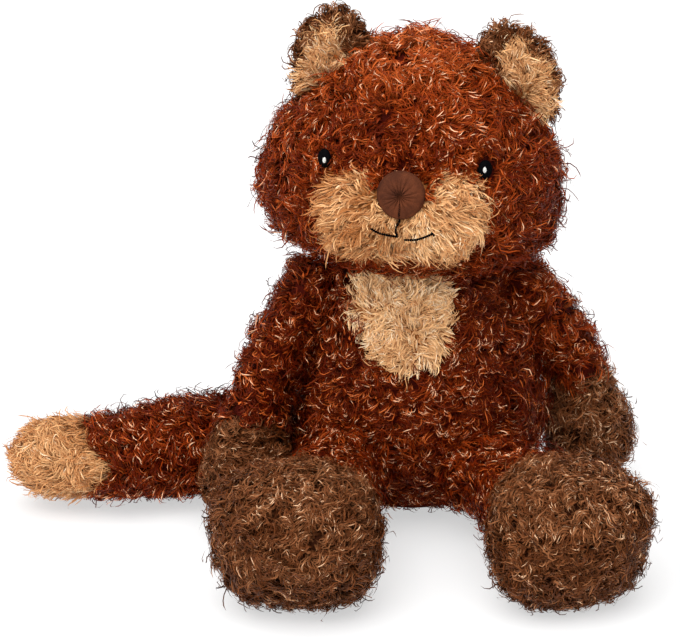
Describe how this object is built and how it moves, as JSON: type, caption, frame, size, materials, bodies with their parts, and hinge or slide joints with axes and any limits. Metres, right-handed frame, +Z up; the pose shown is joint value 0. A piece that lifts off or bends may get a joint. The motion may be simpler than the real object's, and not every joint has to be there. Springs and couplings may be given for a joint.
{
  "type": "plush fox",
  "caption": "Seated curly plush fox with a wide head, round ears, a tan muzzle and chest, brown paws and feet, and a tan-tipped tail round one side.",
  "frame": {"origin": "centre of the flat seat, on the surface that the toy sits on", "axes": "+Z up, -Y the way the toy faces, +X towards its own left"},
  "size_m": [0.33, 0.216, 0.2703],
  "materials": {
    "rust_plush": "curly pile",
    "brown_plush": "curly pile",
    "tan_plush": "curly pile",
    "nose_suede": "suede, gathered",
    "black_thread": "satin stitch",
    "white_thread": "satin stitch",
    "stuffing": "loose fibre",
    "pellet_cloth": "plain weave"
  },
  "bodies": {
    "torso": {"torso_skin": "rust_plush", "torso_stuffing": "stuffing", "pellet_bag": "pellet_cloth", "chest_patch": "tan_plush"},
    "head": {"head_skin": "rust_plush", "head_stuffing": "stuffing", "muzzle": "tan_plush", "nose_pad": "nose_suede", "eye_left": "black_thread", "eye_right": "black_thread", "eye_glint_left": "white_thread", "eye_glint_right": "white_thread", "mouth_thread": "black_thread", "philtrum_thread": "black_thread", "ear_back_left": "brown_plush", "ear_back_right": "brown_plush", "ear_lining_left": "tan_plush", "ear_lining_right": "tan_plush"},
    "arm_left": {"arm_sleeve_left": "rust_plush", "paw_left": "brown_plush", "arm_stuffing_left": "stuffing"},
    "arm_right": {"arm_sleeve_right": "rust_plush", "paw_right": "brown_plush", "arm_stuffing_right": "stuffing"},
    "leg_left": {"leg_sleeve_left": "rust_plush", "foot_left": "brown_plush", "leg_stuffing_left": "stuffing"},
    "leg_right": {"leg_sleeve_right": "rust_plush", "foot_right": "brown_plush", "leg_stuffing_right": "stuffing"},
    "tail": {"tail_sleeve": "rust_plush", "tail_tip": "tan_plush", "tail_stuffing": "stuffing"}
  },
  "joints": [
    {"name": "head_turn", "type": "hinge", "parent": "torso", "child": "head", "pos_m": [0, 0, 0.152], "axis": [0, 0, 1], "range_deg": [-35, 35]},
    {"name": "arm_lift_left", "type": "hinge", "parent": "torso", "child": "arm_left", "pos_m": [0.05016, 0, 0.12008], "axis": [0, -1, 0], "range_deg": [0, 60]},
    {"name": "arm_lift_right", "type": "hinge", "parent": "torso", "child": "arm_right", "pos_m": [-0.05016, 0, 0.12008], "axis": [0, 1, 0], "range_deg": [0, 60]},
    {"name": "leg_lift_left", "type": "hinge", "parent": "torso", "child": "leg_left", "pos_m": [0.03696, -0.04249, 0.036], "axis": [-1, 0, 0], "range_deg": [-20, 30]},
    {"name": "leg_lift_right", "type": "hinge", "parent": "torso", "child": "leg_right", "pos_m": [-0.03696, -0.04249, 0.036], "axis": [-1, 0, 0], "range_deg": [-20, 30]},
    {"name": "tail_swing", "type": "hinge", "parent": "torso", "child": "tail", "pos_m": [-0.0359, 0.03496, 0.02775], "axis": [0, 0, -1], "range_deg": [0, 70]}
  ]
}
